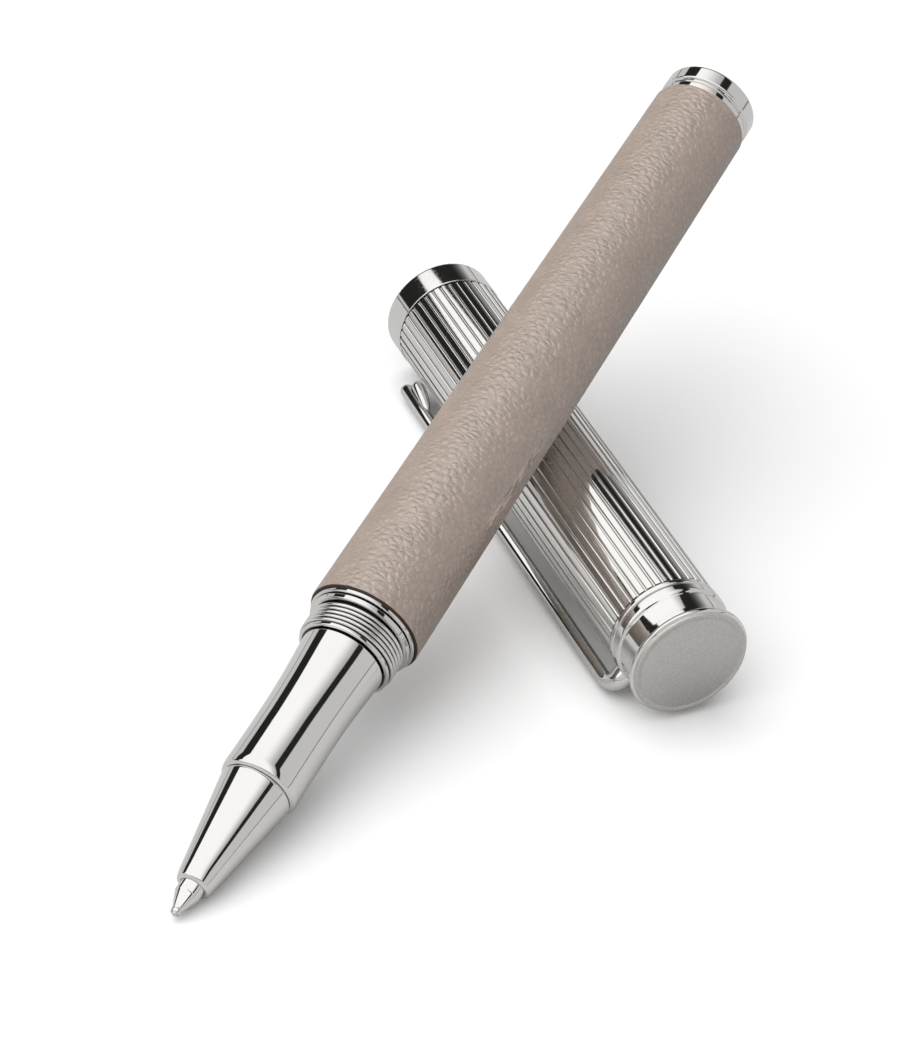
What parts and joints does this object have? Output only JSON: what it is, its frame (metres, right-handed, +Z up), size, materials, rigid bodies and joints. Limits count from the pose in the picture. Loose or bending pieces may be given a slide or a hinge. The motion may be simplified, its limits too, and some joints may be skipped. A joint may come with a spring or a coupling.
{
  "type": "rollerball pen",
  "caption": "Slim rollerball pen with a leather-wrapped barrel and polished metal grip, leaning open across its fluted metal cap with a bar clip.",
  "frame": {"origin": "on the table, under the middle of the whole layout of cap and leaning pen", "axes": "+Z up; the cap lies along Y with its crown towards -Y; the pen rises from its writing ball at -X to its tail at +X"},
  "size_m": [0.0921, 0.0765, 0.0342],
  "materials": {
    "polished_steel": "mirror-polished plated metal",
    "leather": "fine-grained taupe leather with a soft sheen",
    "brass": "plain turned brass",
    "satin_steel": "bead-blasted matt grey metal",
    "plain_steel": "plain bright steel",
    "rubber": "black rubber",
    "dark_plastic": "black moulded plastic",
    "white_plastic": "white moulded plastic",
    "ink": "ink-soaked fibre, blue-black"
  },
  "bodies": {
    "cap": {"mouth_band": "polished_steel", "cap_shell": "polished_steel", "cap_thread_ring": "brass", "inner_cap": "dark_plastic", "clip_ring": "polished_steel", "crown_neck": "polished_steel", "crown_disc": "polished_steel", "crown_medallion": "satin_steel", "crown_plug": "brass", "crown_screw": "plain_steel", "crown_washer": "plain_steel"},
    "clip": {"clip": "polished_steel"},
    "barrel": {"leather_sleeve": "leather", "barrel_tube": "brass", "threaded_collar": "polished_steel", "tail_ring": "polished_steel", "tail_cap": "polished_steel", "tail_plug": "brass", "tail_screw": "brass", "refill_spring": "plain_steel"},
    "refill": {"refill_tip": "plain_steel", "refill_feed": "dark_plastic", "refill_tube": "white_plastic", "ink_reservoir": "ink", "refill_end_plug": "dark_plastic"},
    "front_section": {"grip_section": "polished_steel", "nose_cone": "polished_steel", "section_insert": "brass", "section_o_ring": "rubber"},
    "ball": {"writing_ball": "plain_steel"}
  },
  "joints": [
    {"name": "pen_lift", "type": "slide", "parent": "cap", "child": "barrel", "axis": [0, 0, 1], "range_m": [0, 0.06]},
    {"name": "refill_travel", "type": "slide", "parent": "barrel", "child": "refill", "axis": [-0.7523, -0.6135, -0.2402], "range_m": [0, 0.006]},
    {"name": "section_unscrew", "type": "hinge", "parent": "refill", "child": "front_section", "pos_m": [-0.01895, -0.01612, 0.00891], "axis": [-0.7523, -0.6135, -0.2402], "range_deg": [0, 2880]},
    {"name": "ball_roll", "type": "hinge", "parent": "refill", "child": "ball", "pos_m": [-0.04577, -0.03799, 0.00035], "axis": [-0.632, 0.7749, 0], "continuous": true},
    {"name": "clip_spring", "type": "hinge", "parent": "cap", "child": "clip", "pos_m": [0.00853, -0.02249, 0.00253], "axis": [-0.6994, 0, 0.7147], "range_deg": [0, 4], "stiffness_Nm_per_rad": 4}
  ],
  "couplings": [
    {"joint": "section_unscrew", "follows": "refill_travel", "rad_per_m": 8377.6}
  ]
}
